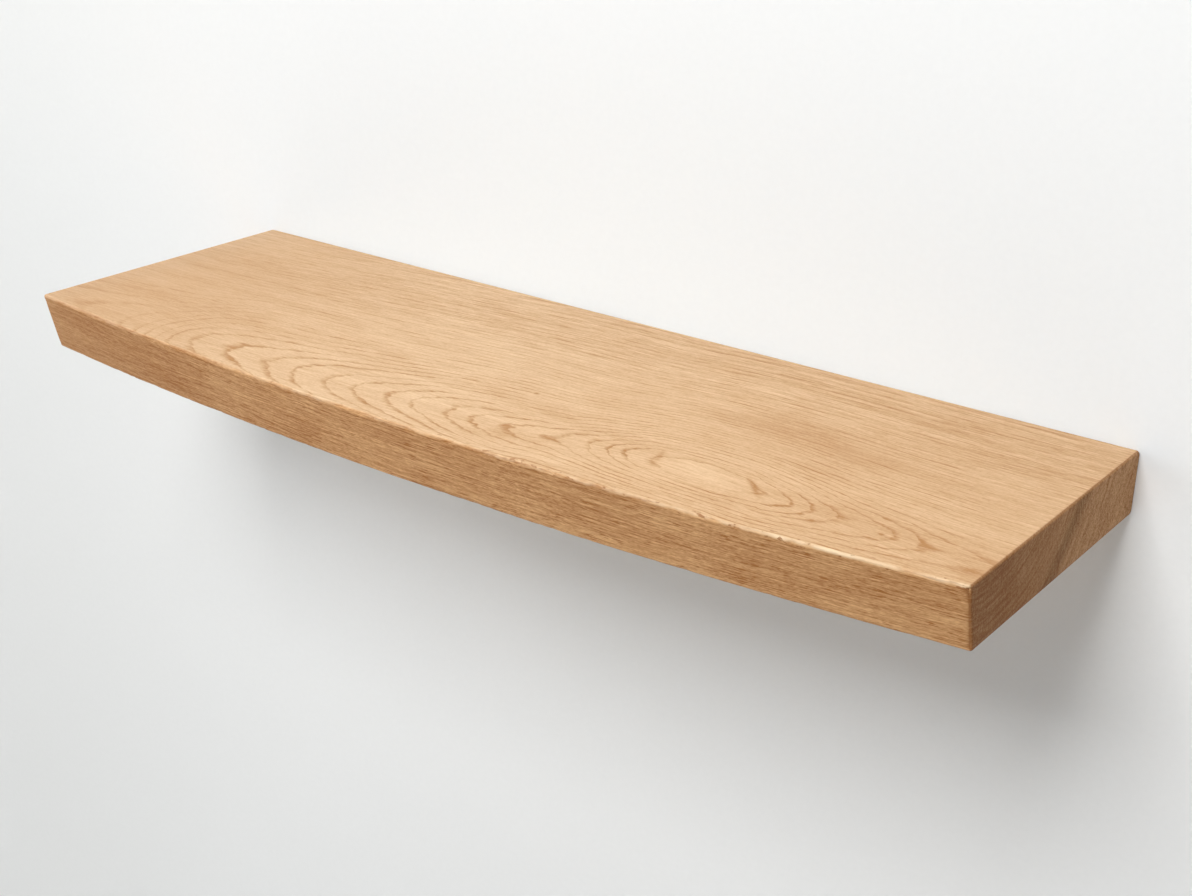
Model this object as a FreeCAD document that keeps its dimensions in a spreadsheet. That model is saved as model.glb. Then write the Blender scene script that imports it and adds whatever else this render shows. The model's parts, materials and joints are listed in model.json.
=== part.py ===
import FreeCAD, Part
import os
import Sketcher

# A floating wall shelf: one thick oak slab with a bowed, undercut front, carried by a hidden steel
# bracket. Millimetres. The origin is on the wall plane, at mid-length and mid-thickness of the slab:
# X runs along the shelf, the front faces -Y, the wall starts at +Y, and Z is up.
#
# The bracket is a flat bar let into the slab's back, with rods that the slab slides onto. A countersunk
# machine screw holds each rod from behind the bar, and screws in nylon plugs hold the bar to the wall.
# Two set screws come up through inserts in the underside and bear on the outer rods.

SIZES = (
    ("slab_length", 800, "length of the slab"),
    ("end_depth", 250, "depth of the slab's top at its two ends"),
    ("bow_rise", 24, "how far the front bows out at mid-length"),
    ("slab_thickness", 46, "thickness of the slab"),
    ("undercut", 12, "how far the front's lower edge is set back from its upper edge"),
    ("edge_round", 3, "radius on every outer edge of the slab"),
    ("bar_inset", 60, "from each end of the slab to the end of the bar"),
    ("bar_height", 30, "height of the bar"),
    ("bar_thickness", 8, "thickness of the bar"),
    ("bar_corner", 4, "radius on the bar's four corners"),
    ("bar_edge", 0.6, "radius on the bar's edges"),
    ("bar_gap", 0.3, "gap between the bar and the recess in the slab"),
    ("rod_count", 4, "how many rods"),
    ("rod_inset", 40, "from each end of the bar to the outer rods"),
    ("rod_diameter", 12, "diameter of a rod"),
    ("rod_length", 150, "length of a rod in front of the bar"),
    ("rod_nose", 1.5, "chamfer on a rod's free end"),
    ("rod_gap", 0.3, "gap all round between a rod and its bore"),
    ("bore_spare", 6, "how far a bore goes on past the rod's end"),
    ("rod_thread", 8, "thread of the screw that holds a rod"),
    ("rod_screw_length", 20, "length of that screw, head included"),
    ("rod_head", 16, "diameter of its head"),
    ("rod_head_land", 0.4, "straight rim of its head"),
    ("screw_nose", 1, "chamfer on the free end of that screw"),
    ("rod_screw_sink", 0.2, "how far its head lies below the bar's back"),
    ("rod_socket", 5, "hexagon socket of the rod screw, across flats"),
    ("rod_socket_depth", 3, "depth of that socket"),
    ("tap_spare", 3, "how far a tapped hole goes on past its screw"),
    ("wall_inset", 15, "from each end of the bar to the outer wall screws"),
    ("plug_diameter", 8, "diameter of a wall plug in the wall"),
    ("plug_length", 60, "length of a wall plug, collar included"),
    ("neck_step", 0.2, "how much smaller in radius the plug is where it passes through the bar"),
    ("plug_shoulder", 1, "how far behind the wall's surface the neck ends"),
    ("plug_collar", 12, "diameter of the plug's collar"),
    ("plug_taper", 4, "length of the plug's tapered end"),
    ("plug_end_wall", 0.4, "wall of the plug at its far end"),
    ("plug_slot", 1.2, "width of the slots that let the plug spread"),
    ("plug_slot_length", 20, "length of those slots"),
    ("wall_thread", 5, "outer diameter of a wall screw's thread"),
    ("wall_core", 3.4, "diameter at the bottom of that thread"),
    ("wall_pitch", 2.5, "from one turn of that thread to the next"),
    ("wall_plain", 12, "plain length under a wall screw's head"),
    ("wall_screw_length", 66, "length of a wall screw, head included"),
    ("wall_point", 5, "length of a wall screw's point"),
    ("wall_head", 9.4, "diameter of a wall screw's head"),
    ("cross_rim", 2.3, "from the edge of a wall screw's head to its cross recess"),
    ("cross_width", 1.1, "width of the cross recess"),
    ("cross_depth", 2, "depth of the cross recess"),
    ("insert_diameter", 10, "diameter of an insert over its ribs"),
    ("insert_length", 12, "length of an insert, flange included"),
    ("insert_flange", 13, "diameter of an insert's flange"),
    ("flange_thickness", 1.2, "thickness of that flange"),
    ("rib_depth", 0.6, "height of the ribs on an insert"),
    ("insert_sink", 0.7, "how far an insert lies below the underside"),
    ("lock_setback", 70, "from the wall to the set screws"),
    ("lock_thread", 6, "thread of a set screw"),
    ("lock_nose", 0.8, "chamfer at both ends of a set screw"),
    ("lock_tip_gap", 0.3, "gap between a set screw's tip and its rod"),
    ("lock_socket", 3, "hexagon socket of a set screw, across flats"),
    ("lock_socket_depth", 3, "depth of that socket"),
    ("lock_hole_gap", 0.3, "gap round a set screw above its insert"),
    ("seat_gap", 0.1, "gap between a countersunk head and its seat"),
    ("thread_gap", 0.05, "gap between a thread and the wall it holds in"),
    ("neck_gap", 0.2, "gap round a shank or neck that passes through the bar"),
)

INSERT_RIBS = 5
FULL_TURN = 360
DRILL_SLOPE = "tan(31 deg)"  # a drill point of 118 degrees: its depth over its radius
ROOT, START, END = -1, 1, 2  # the sketch's own origin, and the two ends of a line or arc

BAR_LENGTH = "(Sizes.slab_length - 2 * Sizes.bar_inset)"
ROD_SPACING = f"(({BAR_LENGTH} - 2 * Sizes.rod_inset) / (Sizes.rod_count - 1))"
ROD_X = f"{ROD_SPACING} * ({{}} - (Sizes.rod_count - 1) / 2)"
LOCK_X = f"({BAR_LENGTH} / 2 - Sizes.rod_inset)"
OUTER_WALL_X = f"({BAR_LENGTH} / 2 - Sizes.wall_inset)"
INNER_WALL_X = f"({ROD_SPACING} * (Sizes.rod_count / 2 - 1))"  # midway between the last two rods
BORE_RADIUS = "(Sizes.rod_diameter / 2 + Sizes.rod_gap)"
BOW_RADIUS = "((Sizes.slab_length / 2) ^ 2 + Sizes.bow_rise ^ 2) / (2 * Sizes.bow_rise)"
BAR_FRONT = "(-Sizes.bar_thickness)"
ROD_HEAD_CONE = "(Sizes.rod_screw_sink + Sizes.rod_head_land)"
UNDERSIDE = "(-Sizes.slab_thickness / 2)"
INSERT_BOTTOM = "(-Sizes.slab_thickness / 2 + Sizes.insert_sink)"


def make_sheet():
    """The spreadsheet of driving sizes: what each one is, and its value under its own alias."""
    sheet = doc.addObject("Spreadsheet::Sheet", "Sizes")
    for row, (alias, value, meaning) in enumerate(SIZES, start=1):
        sheet.set(f"A{row}", meaning)
        sheet.set(f"B{row}", str(value))
        sheet.setAlias(f"B{row}", alias)
    doc.recompute()
    return sheet


def number(expression):
    """What an expression comes to, for the first shape of a sketch."""
    return float(sheet.evalExpression(expression))


def new_body(label):
    body = doc.addObject("PartDesign::Body", label)
    body.Label = label
    return body


def sketch_on(body, name, plane, **offsets):
    """A sketch on one of the body's origin planes, moved by x, y or z along the sketch's own axes."""
    sketch = body.newObject("Sketcher::SketchObject", name)
    datum = next(f for f in body.Origin.OriginFeatures if f.Role == plane)
    sketch.AttachmentSupport = (datum, [""])
    sketch.MapMode = "FlatFace"
    for axis, expression in offsets.items():
        sketch.setExpression(f"AttachmentOffset.Base.{axis}", expression)
    return sketch


def hold_point(sketch, geometry, point, across, up):
    """Holds one point at two expressions from the sketch's origin."""
    for kind, expression in (("DistanceX", across), ("DistanceY", up)):
        start = number(expression)
        index = sketch.addConstraint(Sketcher.Constraint(kind, ROOT, START, geometry, point, start))
        sketch.setExpression(f"Constraints[{index}]", expression)


def arc_between(start, end, radius):
    """The smaller arc that runs anticlockwise from one point to the other."""
    chord = end - start
    middle = (start + end) / 2
    out = FreeCAD.Vector(chord.y, -chord.x, 0).normalize()
    rise = radius - (radius**2 - (chord.Length / 2) ** 2) ** 0.5
    return Part.Arc(start, middle + out * rise, end)


def outline(sketch, corners):
    """A closed outline, anticlockwise where it has arcs.

    Each corner is two expressions, and a third is the radius of the arc that leads up to it.
    """
    points = [FreeCAD.Vector(number(corner[0]), number(corner[1]), 0) for corner in corners]
    edges = []
    for i, corner in enumerate(corners):
        start, end = points[i - 1], points[i]
        is_arc = len(corner) > 2
        edge = arc_between(start, end, number(corner[2])) if is_arc else Part.LineSegment(start, end)
        edges.append(sketch.addGeometry(edge))
    for i, corner in enumerate(corners):
        join = Sketcher.Constraint("Coincident", edges[i - 1], END, edges[i], START)
        sketch.addConstraint(join)
        hold_point(sketch, edges[i], END, corner[0], corner[1])
        if len(corner) > 2:
            bend = Sketcher.Constraint("Radius", edges[i], number(corner[2]))
            sketch.setExpression(f"Constraints[{sketch.addConstraint(bend)}]", corner[2])


def rounded_rectangle(sketch, width, height, radius):
    """A rectangle about the sketch's origin with four equal round corners."""
    right, top = f"({width}) / 2", f"({height}) / 2"
    inner_x, inner_y = f"(({width}) / 2 - ({radius}))", f"(({height}) / 2 - ({radius}))"
    outline(
        sketch,
        (
            (inner_x, f"-{top}"),
            (right, f"-{inner_y}", radius),
            (right, inner_y),
            (inner_x, top, radius),
            (f"-{inner_x}", top),
            (f"-{right}", inner_y, radius),
            (f"-{right}", f"-{inner_y}"),
            (f"-{inner_x}", f"-{top}", radius),
        ),
    )


def face_name(feature, is_it):
    """The name of the first face of a feature that passes a test."""
    return next(f"Face{i}" for i, face in enumerate(feature.Shape.Faces, start=1) if is_it(face))


def hexagon(sketch, across_flats):
    """A hexagon about the sketch's origin, with corners on its X axis."""
    tip, half_tip = f"{across_flats} / sqrt(3)", f"{across_flats} / sqrt(12)"
    flat = f"{across_flats} / 2"
    outline(
        sketch,
        (
            (tip, "0"),
            (half_tip, flat),
            (f"-{half_tip}", flat),
            (f"-{tip}", "0"),
            (f"-{half_tip}", f"-{flat}"),
            (half_tip, f"-{flat}"),
        ),
    )


def turn(body, kind, name, sketch):
    """A full turn of a sketch about its own vertical axis: a Revolution adds it and a Groove cuts it."""
    feature = body.newObject(f"PartDesign::{kind}", name)
    feature.Profile = sketch
    feature.ReferenceAxis = (sketch, ["V_Axis"])
    feature.Angle = FULL_TURN
    doc.recompute()
    return feature


def pocket(body, name, sketch, depth, along_normal):
    """A pocket that runs with the sketch's normal or against it, and has to take something away."""
    before = body.Tip.Shape.Volume
    cut = body.newObject("PartDesign::Pocket", name)
    cut.Profile = sketch
    cut.setExpression("Length", depth)
    cut.Reversed = along_normal
    doc.recompute()
    if cut.Shape.Volume >= before:
        raise RuntimeError(f"{body.Label}: {name} cuts nothing")
    return cut


def slot_through(body, name, sketch, width):
    """A pocket that runs the same way on both sides of its sketch."""
    cut = body.newObject("PartDesign::Pocket", name)
    cut.Profile = sketch
    cut.Midplane = True
    cut.setExpression("Length", width)
    doc.recompute()
    return cut


def mirror(body, name, features):
    """The same cuts on the other side of the body's YZ plane."""
    copy = body.newObject("PartDesign::Mirrored", name)
    copy.Originals = features
    plane = next(f for f in body.Origin.OriginFeatures if f.Role == "YZ_Plane")
    copy.MirrorPlane = (plane, [""])
    body.Tip = copy
    doc.recompute()


def rod_row(body, name, feature, sketch):
    """One cut repeated at every rod."""
    row = body.newObject("PartDesign::LinearPattern", name)
    row.Originals = [feature]
    row.Direction = (sketch, ["H_Axis"])
    row.Mode = "Spacing"
    row.setExpression("Offset", ROD_SPACING)
    row.setExpression("Occurrences", "Sizes.rod_count")
    body.Tip = row
    doc.recompute()


def slab_outline(sketch):
    """The slab's top seen from above: straight back and ends, and one shallow arc for the front."""
    left, right = "-Sizes.slab_length / 2", "Sizes.slab_length / 2"
    outline(
        sketch,
        (
            (left, "-Sizes.end_depth"),
            (right, "-Sizes.end_depth", BOW_RADIUS),
            (right, "0"),
            (left, "0"),
        ),
    )


def make_slab():
    """The oak slab, with a recess for the bar, bores for the rods and holes for the set screws."""
    body = new_body("shelf_slab")
    top = sketch_on(body, "Top", "XY_Plane", z="Sizes.slab_thickness / 2")
    slab_outline(top)
    block = body.newObject("PartDesign::Pad", "Block")
    block.Profile = top
    block.Reversed = True
    block.setExpression("Length", "Sizes.slab_thickness")
    doc.recompute()

    undercut = body.newObject("PartDesign::Draft", "Undercut")
    undercut.Base = (block, [face_name(block, lambda face: isinstance(face.Surface, Part.Cylinder))])
    undercut.NeutralPlane = (block, [face_name(block, lambda face: face.normalAt(0, 0).z > 0.5)])
    undercut.setExpression("Angle", "atan(Sizes.undercut / Sizes.slab_thickness)")
    undercut.Reversed = True
    doc.recompute()

    edges = body.newObject("PartDesign::Fillet", "SoftEdges")
    edges.Base = (undercut, [""])
    edges.UseAllEdges = True
    edges.setExpression("Radius", "Sizes.edge_round")
    doc.recompute()

    recess = sketch_on(body, "RecessOutline", "XZ_Plane")
    rounded_rectangle(
        recess,
        f"{BAR_LENGTH} + 2 * Sizes.bar_gap",
        "Sizes.bar_height + 2 * Sizes.bar_gap",
        "Sizes.bar_corner + Sizes.bar_gap",
    )
    pocket(body, "BarRecess", recess, "Sizes.bar_thickness + Sizes.bar_gap", True)

    bore_end = "(Sizes.bar_thickness + Sizes.rod_length + Sizes.bore_spare)"
    bore = sketch_on(body, "BoreProfile", "XY_Plane", x=ROD_X.format(0))
    outline(
        bore,
        (
            ("0", "0"),
            ("0", f"-{bore_end} - {BORE_RADIUS} * {DRILL_SLOPE}"),
            (BORE_RADIUS, f"-{bore_end}"),
            (BORE_RADIUS, "0"),
        ),
    )
    rod_row(body, "RodBores", turn(body, "Groove", "RodBore", bore), bore)

    lock_radius = "Sizes.lock_thread / 2 + Sizes.lock_hole_gap"
    insert_radius = "Sizes.insert_diameter / 2 + Sizes.thread_gap"
    flange_radius = "Sizes.insert_flange / 2 + Sizes.seat_gap"
    insert_top = f"{INSERT_BOTTOM} + Sizes.insert_length + Sizes.seat_gap"
    flange_top = f"{INSERT_BOTTOM} + Sizes.flange_thickness + Sizes.seat_gap"
    hole = sketch_on(body, "SetScrewHole", "XZ_Plane", x=LOCK_X, z="Sizes.lock_setback")
    outline(
        hole,
        (
            ("0", "0"),
            ("0", UNDERSIDE),
            (flange_radius, UNDERSIDE),
            (flange_radius, flange_top),
            (insert_radius, flange_top),
            (insert_radius, insert_top),
            (lock_radius, insert_top),
            (lock_radius, "0"),
        ),
    )
    mirror(body, "SetScrewHoles", [turn(body, "Groove", "SetScrewBore", hole)])
    return body


def make_bar():
    """The flat steel bar: rod seats countersunk from the wall side, plug seats from the room side."""
    body = new_body("bracket_bar")
    face = sketch_on(body, "BarOutline", "XZ_Plane")
    rounded_rectangle(face, BAR_LENGTH, "Sizes.bar_height", "Sizes.bar_corner")
    pad = body.newObject("PartDesign::Pad", "Flat")
    pad.Profile = face
    pad.setExpression("Length", "Sizes.bar_thickness")
    doc.recompute()

    edges = body.newObject("PartDesign::Fillet", "SoftEdges")
    edges.Base = (pad, [face_name(pad, lambda face: face.normalAt(0, 0).y < -0.5)])
    edges.setExpression("Radius", "Sizes.bar_edge")
    doc.recompute()

    head_radius = "(Sizes.rod_head / 2 + Sizes.seat_gap)"
    shank_radius = "(Sizes.rod_thread / 2 + Sizes.neck_gap)"
    seat = sketch_on(body, "RodSeat", "XY_Plane", x=ROD_X.format(0))
    outline(
        seat,
        (
            ("0", "0"),
            ("0", BAR_FRONT),
            (shank_radius, BAR_FRONT),
            (shank_radius, f"-{ROD_HEAD_CONE} - ({head_radius} - {shank_radius})"),
            (head_radius, f"-{ROD_HEAD_CONE}"),
            (head_radius, "0"),
        ),
    )
    rod_row(body, "RodSeats", turn(body, "Groove", "RodSeatCut", seat), seat)

    collar_radius = "(Sizes.plug_collar / 2 + Sizes.seat_gap)"
    plug_radius = "(Sizes.plug_diameter / 2 + Sizes.neck_gap)"
    cuts = []
    for name, across in (("Inner", INNER_WALL_X), ("Outer", OUTER_WALL_X)):
        plug = sketch_on(body, f"{name}PlugSeat", "XY_Plane", x=across)
        outline(
            plug,
            (
                ("0", BAR_FRONT),
                (collar_radius, BAR_FRONT),
                (plug_radius, f"{BAR_FRONT} + {collar_radius} - {plug_radius}"),
                (plug_radius, "0"),
                ("0", "0"),
            ),
        )
        cuts.append(turn(body, "Groove", f"{name}PlugHole", plug))
    mirror(body, "PlugHoles", cuts)
    return body


def make_rod(place):
    """A round steel rod, butted on the bar's front and tapped for its screw."""
    body = new_body(f"support_rod_{place + 1}")
    radius = "Sizes.rod_diameter / 2"
    tap_radius = "(Sizes.rod_thread / 2 + Sizes.thread_gap)"
    tap_end = "-(Sizes.rod_screw_sink + Sizes.rod_screw_length + Sizes.tap_spare)"
    free_end = f"({BAR_FRONT} - Sizes.rod_length)"
    profile = sketch_on(body, "Profile", "XY_Plane")
    outline(
        profile,
        (
            (tap_radius, BAR_FRONT),
            (tap_radius, tap_end),
            ("0", f"{tap_end} - {tap_radius} * {DRILL_SLOPE}"),
            ("0", free_end),
            (f"{radius} - Sizes.rod_nose", free_end),
            (radius, f"{free_end} + Sizes.rod_nose"),
            (radius, BAR_FRONT),
        ),
    )
    turn(body, "Revolution", "Rod", profile)
    body.setExpression("Placement.Base.x", ROD_X.format(place))
    return body


def make_rod_screw(place):
    """A countersunk machine screw through the bar into the rod, its head just below the bar's back."""
    body = new_body(f"rod_screw_{place + 1}")
    head_radius, thread_radius = "Sizes.rod_head / 2", "Sizes.rod_thread / 2"
    screw_end = "-(Sizes.rod_screw_sink + Sizes.rod_screw_length)"
    profile = sketch_on(body, "Profile", "XY_Plane")
    outline(
        profile,
        (
            ("0", "-Sizes.rod_screw_sink"),
            ("0", screw_end),
            (f"{thread_radius} - Sizes.screw_nose", screw_end),
            (thread_radius, f"{screw_end} + Sizes.screw_nose"),
            (thread_radius, f"-{ROD_HEAD_CONE} - ({head_radius} - {thread_radius})"),
            (head_radius, f"-{ROD_HEAD_CONE}"),
            (head_radius, "-Sizes.rod_screw_sink"),
        ),
    )
    turn(body, "Revolution", "Screw", profile)
    socket = sketch_on(body, "Socket", "XZ_Plane", z="Sizes.rod_screw_sink")
    hexagon(socket, "Sizes.rod_socket")
    pocket(body, "HexSocket", socket, "Sizes.rod_socket_depth", True)
    body.setExpression("Placement.Base.x", ROD_X.format(place))
    return body


def make_wall_plug(place, across):
    """A nylon plug through the bar: a collar in its seat, a neck, and a slotted sleeve in the wall."""
    body = new_body(f"wall_plug_{place + 1}")
    collar, sleeve = "Sizes.plug_collar / 2", "Sizes.plug_diameter / 2"
    neck = "(Sizes.plug_diameter / 2 - Sizes.neck_step)"
    bore = "(Sizes.wall_thread / 2 + Sizes.seat_gap)"
    end = f"({bore} + Sizes.plug_end_wall)"
    head = "(Sizes.wall_head / 2 + Sizes.seat_gap)"
    far_end = f"({BAR_FRONT} + Sizes.plug_length)"
    profile = sketch_on(body, "Profile", "XY_Plane")
    outline(
        profile,
        (
            (head, BAR_FRONT),
            (collar, BAR_FRONT),
            (neck, f"{BAR_FRONT} + {collar} - {neck}"),
            (neck, "Sizes.plug_shoulder"),
            (sleeve, "Sizes.plug_shoulder"),
            (sleeve, f"{far_end} - Sizes.plug_taper"),
            (end, far_end),
            (bore, far_end),
            (bore, f"{BAR_FRONT} + {head} - {bore}"),
        ),
    )
    turn(body, "Revolution", "Sleeve", profile)
    for name, plane in (("UprightSlot", "XY_Plane"), ("LevelSlot", "YZ_Plane")):
        slot = sketch_on(body, name, plane)
        half = "Sizes.plug_slot / 2"
        far = f"{far_end} - Sizes.plug_taper"
        near = f"{far} - Sizes.plug_slot_length"
        corners = ((f"-{half}", near), (half, near), (half, far), (f"-{half}", far))
        if plane == "YZ_Plane":
            corners = tuple((up, across_slot) for across_slot, up in corners)
        outline(slot, corners)
        slot_through(body, f"{name}Cut", slot, "2 * Sizes.plug_diameter")
    body.setExpression("Placement.Base.x", across)
    return body


def make_wall_screw(place, across):
    """A countersunk wood screw down the plug, with ribs at the thread's pitch and a point past the plug."""
    body = new_body(f"wall_screw_{place + 1}")
    head, thread, core = "Sizes.wall_head / 2", "Sizes.wall_thread / 2", "Sizes.wall_core / 2"
    start = f"{BAR_FRONT} + Sizes.wall_plain"
    tip = f"({BAR_FRONT} + Sizes.wall_screw_length)"
    threaded = "(Sizes.wall_screw_length - Sizes.wall_plain - Sizes.wall_point)"
    ribs = []
    for i in range(int(number(f"{threaded} / Sizes.wall_pitch"))):
        ribs.append((core, f"{start} + Sizes.wall_pitch * {i + 0.25}"))
        ribs.append((thread, f"{start} + Sizes.wall_pitch * {i + 0.75}"))
    profile = sketch_on(body, "Profile", "XY_Plane")
    outline(
        profile,
        (
            ("0", BAR_FRONT),
            (head, BAR_FRONT),
            (thread, f"{BAR_FRONT} + {head} - {thread}"),
            (thread, start),
            *ribs,
            (core, f"{tip} - Sizes.wall_point"),
            ("0", tip),
        ),
    )
    turn(body, "Revolution", "Screw", profile)
    half_span, half_width = "(Sizes.wall_head / 2 - Sizes.cross_rim)", "Sizes.cross_width / 2"
    for name, wide, high in (("Level", half_span, half_width), ("Upright", half_width, half_span)):
        recess = sketch_on(body, f"{name}Recess", "XZ_Plane", z="Sizes.bar_thickness")
        outline(recess, ((f"-{wide}", f"-{high}"), (wide, f"-{high}"), (wide, high), (f"-{wide}", high)))
        pocket(body, f"{name}RecessCut", recess, "Sizes.cross_depth", False)
    body.setExpression("Placement.Base.x", across)
    return body


def make_insert(side, across):
    """A ribbed brass insert in the underside, with a flange at its mouth."""
    body = new_body(f"insert_nut_{side}")
    bore = "Sizes.lock_thread / 2 + Sizes.thread_gap"
    crest = "Sizes.insert_diameter / 2"
    root = "Sizes.insert_diameter / 2 - Sizes.rib_depth"
    flange = "Sizes.insert_flange / 2"
    shank_start = f"({INSERT_BOTTOM} + Sizes.flange_thickness)"
    step = f"(Sizes.insert_length - Sizes.flange_thickness) / {INSERT_RIBS}"
    ribs = []
    for i in range(INSERT_RIBS):
        ribs.append((root, f"{shank_start} + {step} * {i + 0.25}"))
        ribs.append((crest, f"{shank_start} + {step} * {i + 0.75}"))
    profile = sketch_on(body, "Profile", "XZ_Plane")
    outline(
        profile,
        (
            (bore, INSERT_BOTTOM),
            (flange, INSERT_BOTTOM),
            (flange, shank_start),
            (root, shank_start),
            *ribs,
            (root, f"{INSERT_BOTTOM} + Sizes.insert_length"),
            (bore, f"{INSERT_BOTTOM} + Sizes.insert_length"),
        ),
    )
    turn(body, "Revolution", "Insert", profile)
    body.setExpression("Placement.Base.x", across)
    body.setExpression("Placement.Base.y", "-Sizes.lock_setback")
    return body


def make_lock_screw(side, across):
    """A hexagon-socket set screw in its insert, with its tip just under the outer rod."""
    body = new_body(f"lock_screw_{side}")
    thread, nose = "Sizes.lock_thread / 2", "Sizes.lock_nose"
    tip = "(-Sizes.rod_diameter / 2 - Sizes.lock_tip_gap)"
    profile = sketch_on(body, "Profile", "XZ_Plane")
    outline(
        profile,
        (
            ("0", INSERT_BOTTOM),
            (f"{thread} - {nose} / 2", INSERT_BOTTOM),
            (thread, f"{INSERT_BOTTOM} + {nose} / 2"),
            (thread, f"{tip} - {nose}"),
            (f"{thread} - {nose}", tip),
            ("0", tip),
        ),
    )
    turn(body, "Revolution", "SetScrew", profile)
    socket = sketch_on(body, "Socket", "XY_Plane", z=INSERT_BOTTOM)
    hexagon(socket, "Sizes.lock_socket")
    pocket(body, "HexSocket", socket, "Sizes.lock_socket_depth", True)
    body.setExpression("Placement.Base.x", across)
    body.setExpression("Placement.Base.y", "-Sizes.lock_setback")
    return body


def make_parts():
    """Every sub-part, each a body of its own."""
    parts = [make_slab(), make_bar()]
    for place in range(int(number("Sizes.rod_count"))):
        parts += [make_rod(place), make_rod_screw(place)]
    wall_places = (f"-{OUTER_WALL_X}", f"-{INNER_WALL_X}", INNER_WALL_X, OUTER_WALL_X)
    for place, across in enumerate(wall_places):
        parts += [make_wall_plug(place, across), make_wall_screw(place, across)]
    for side, across in (("left", f"-{LOCK_X}"), ("right", LOCK_X)):
        parts += [make_insert(side, across), make_lock_screw(side, across)]
    return parts


def check_parts(parts):
    """Stops if any object of the document failed, or a sub-part isn't one whole solid."""
    for thing in doc.Objects:
        if "Invalid" in thing.State or "Error" in thing.State:
            raise RuntimeError(f"{thing.Label} failed: {thing.State}")
    for part in parts:
        shape = part.Shape
        if shape.isNull() or not shape.isValid() or len(shape.Solids) != 1:
            raise RuntimeError(f"{part.Label} isn't one valid solid")


def write_parts(parts):
    """One STEP file for each sub-part, named after it."""
    os.makedirs("parts", exist_ok=True)
    for part in parts:
        part.Shape.exportStep(f"parts/{part.Label}.step")
        print(f"{part.Label}: {part.Shape.Volume:.1f} mm3")


doc = FreeCAD.newDocument("FloatingShelf")
sheet = make_sheet()
sub_parts = make_parts()
doc.recompute()
check_parts(sub_parts)
write_parts(sub_parts)
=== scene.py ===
"""The looks of the floating wall shelf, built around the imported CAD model.

Metres, in the part's own frame: X along the shelf, the wall at Y = 0, the front towards -Y, Z up.
The oak slab is a detailed mesh of its own, with a solid wood material whose growth rings run through
top, front and ends alike. The bracket, rods, screws, plugs and inserts are the CAD nodes with finishes
of their own. Sizes inside the materials are in millimetres.
"""

import json
import math

import bmesh
import bpy
import numpy as np
from mathutils import Matrix, Vector


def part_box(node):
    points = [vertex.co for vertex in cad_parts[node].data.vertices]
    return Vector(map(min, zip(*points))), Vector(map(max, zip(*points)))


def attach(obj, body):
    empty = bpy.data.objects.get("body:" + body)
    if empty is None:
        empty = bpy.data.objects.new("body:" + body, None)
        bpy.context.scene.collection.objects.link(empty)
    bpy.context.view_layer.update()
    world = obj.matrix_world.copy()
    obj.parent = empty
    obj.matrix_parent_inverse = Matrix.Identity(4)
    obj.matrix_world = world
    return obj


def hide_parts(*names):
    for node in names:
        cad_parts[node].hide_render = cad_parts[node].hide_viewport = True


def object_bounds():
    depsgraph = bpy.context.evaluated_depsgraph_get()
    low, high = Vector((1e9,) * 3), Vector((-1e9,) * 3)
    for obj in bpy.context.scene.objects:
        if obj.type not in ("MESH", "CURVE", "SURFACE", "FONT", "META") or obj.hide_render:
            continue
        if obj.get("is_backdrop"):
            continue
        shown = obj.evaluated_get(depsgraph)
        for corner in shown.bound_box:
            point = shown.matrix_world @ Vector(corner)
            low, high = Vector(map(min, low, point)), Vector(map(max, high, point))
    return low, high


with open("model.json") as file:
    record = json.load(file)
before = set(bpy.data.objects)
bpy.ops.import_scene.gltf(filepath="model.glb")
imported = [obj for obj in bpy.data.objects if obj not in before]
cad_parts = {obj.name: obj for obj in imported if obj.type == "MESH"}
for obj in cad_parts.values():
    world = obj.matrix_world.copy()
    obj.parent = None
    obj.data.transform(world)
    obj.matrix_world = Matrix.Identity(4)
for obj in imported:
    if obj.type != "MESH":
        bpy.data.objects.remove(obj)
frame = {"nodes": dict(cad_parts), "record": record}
cad_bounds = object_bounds()

MM = 0.001

# The slab's driving sizes. Its length, thickness and back come from the frame.
_, SLAB_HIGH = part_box("shelf_slab")
HALF_LENGTH = SLAB_HIGH.x
HALF_THICKNESS = SLAB_HIGH.z
END_DEPTH = 250 * MM
BOW_RISE = 24 * MM
UNDERCUT = 12 * MM
BOW_RADIUS = (HALF_LENGTH**2 + BOW_RISE**2) / (2 * BOW_RISE)

# What is cut into it, apart from the sizes that come from the frame.
FIT_GAP = 0.3 * MM
BAR_CORNER = 4 * MM
CUT_PAST_BACK = 5 * MM
BORE_RUN_ON = 6 * MM
DRILL_POINT = math.tan(math.radians(31))
INSERT_GAP = 0.1 * MM
INSERT_FLANGE = 1.3 * MM
INSERT_HOLE = 5.05 * MM
SCREW_HOLE = 3.3 * MM


def link(name, mesh):
    """A new object in the scene, made of a mesh."""
    thing = bpy.data.objects.new(name, mesh)
    bpy.context.scene.collection.objects.link(thing)
    return thing


# ------------------------------------------------------------------ the slab's mesh


def front_depth(x):
    """Depth of the slab's top at places along its length: the front is one shallow arc."""
    return END_DEPTH + BOW_RISE - BOW_RADIUS + np.sqrt(BOW_RADIUS**2 - np.square(x))


# Each wave's share of the height, and how many times shorter it is than the first.
WAVES = ((0.4, 1), (0.25, 1.37), (0.2, 1.9), (0.15, 3.3), (0.1, 5.1))


def wavering(x, wavelength, seed):
    """A smooth random line along the slab, between about -1 and 1."""
    phases = np.random.default_rng(seed).uniform(0, 2 * np.pi, len(WAVES))
    line = 0
    for phase, (share, ratio) in zip(phases, WAVES):
        line += share * math.sin(2 * math.pi * x * ratio / wavelength + phase)
    return line


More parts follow.
